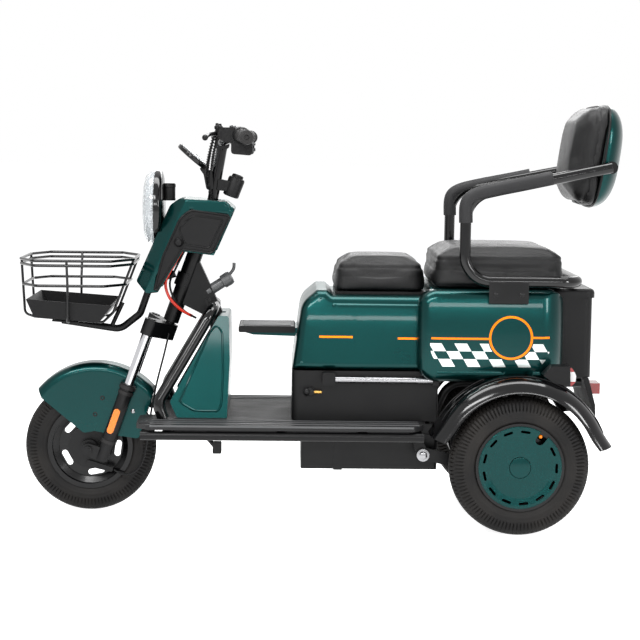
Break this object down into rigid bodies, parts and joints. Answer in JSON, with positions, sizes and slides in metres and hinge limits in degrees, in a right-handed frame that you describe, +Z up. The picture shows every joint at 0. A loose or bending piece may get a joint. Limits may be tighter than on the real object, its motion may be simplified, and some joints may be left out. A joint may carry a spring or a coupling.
{
  "type": "electric tricycle",
  "caption": "Electric passenger tricycle with a front basket, leg shield, ribbed footboard, tip-up rider's seat, passenger bench with bent-tube armrests and backrest, and covered rear wheels.",
  "frame": {"origin": "on the ground, midway between the basket's front and the backrest's rear, on the centre plane", "axes": "-X forward, +X to the rear, +Y to the vehicle's right, +Z up"},
  "size_m": [1.666, 0.69, 1.1564],
  "materials": {
    "paint_green": "gloss",
    "frame_black": "satin powder coat",
    "gloss_black": "gloss",
    "plastic_black": "fine grain",
    "board_grey": "ribbed, matt",
    "cast_grey": "painted casting",
    "chrome_tube": "polished",
    "polished_bar": "polished",
    "lever_alloy": "black anodised",
    "grip_rubber": "moulded",
    "tyre_rubber": "moulded rubber",
    "rim_black": "gloss",
    "seat_black": "upholstery",
    "lens_clear": "clear",
    "lens_red": "clear moulding",
    "reflector_orange": "moulding"
  },
  "bodies": {
    "frame": {"main_frame": "frame_black", "footboard": "board_grey", "leg_guard": "gloss_black", "leg_shield": "paint_green", "body_shell": "paint_green", "body_skirt": "plastic_black", "seat_bucket": "plastic_black", "side_bars": "polished_bar", "rear_body": "paint_green", "battery_box": "frame_black", "rear_axle": "cast_grey", "rear_suspension": "frame_black", "rear_fenders": "gloss_black", "tail_panels": "plastic_black", "tail_lenses": "lens_red", "tail_box": "plastic_black", "tail_box_cover": "plastic_black", "rear_seat": "seat_black", "arm_frame": "gloss_black", "backrest_shell": "paint_green", "backrest_cushion": "seat_black", "front_cowl": "paint_green", "cowl_panels": "plastic_black", "headlight_housing": "gloss_black", "headlight_lens": "lens_clear", "basket": "gloss_black", "basket_tray": "plastic_black", "basket_bracket": "frame_black"},
    "steering": {"fork_castings": "cast_grey", "fork_stanchions": "chrome_tube", "fork_reflectors": "reflector_orange", "front_brake": "cast_grey", "front_fender": "paint_green", "handlebar": "gloss_black", "grips": "grip_rubber", "bar_controls": "plastic_black", "brake_levers": "lever_alloy", "instrument": "gloss_black"},
    "front_wheel": {"front_tyre": "tyre_rubber", "front_rim": "rim_black"},
    "rear_wheel_left": {"rear_tyre_left": "tyre_rubber", "rear_rim_left": "rim_black", "rear_hubcap_left": "paint_green"},
    "rear_wheel_right": {"rear_tyre_right": "tyre_rubber", "rear_rim_right": "rim_black", "rear_hubcap_right": "paint_green"},
    "seat_lid": {"front_seat": "seat_black", "front_seat_base": "plastic_black"}
  },
  "joints": [
    {"name": "steering", "type": "hinge", "parent": "frame", "child": "steering", "pos_m": [-0.38397, 0, 0.653], "axis": [0.3338, 0, 0.9426], "range_deg": [-33, 33]},
    {"name": "front_wheel", "type": "hinge", "parent": "steering", "child": "front_wheel", "pos_m": [-0.64797, 0, 0.183], "axis": [0, -1, 0], "continuous": true},
    {"name": "rear_wheel_left", "type": "hinge", "parent": "frame", "child": "rear_wheel_left", "pos_m": [0.52003, -0.29, 0.187], "axis": [0, -1, 0], "continuous": true},
    {"name": "rear_wheel_right", "type": "hinge", "parent": "frame", "child": "rear_wheel_right", "pos_m": [0.52003, 0.29, 0.187], "axis": [0, -1, 0], "continuous": true},
    {"name": "seat_lid", "type": "hinge", "parent": "frame", "child": "seat_lid", "pos_m": [0.01403, 0, 0.632], "axis": [0, -1, 0], "range_deg": [0, 75]}
  ]
}
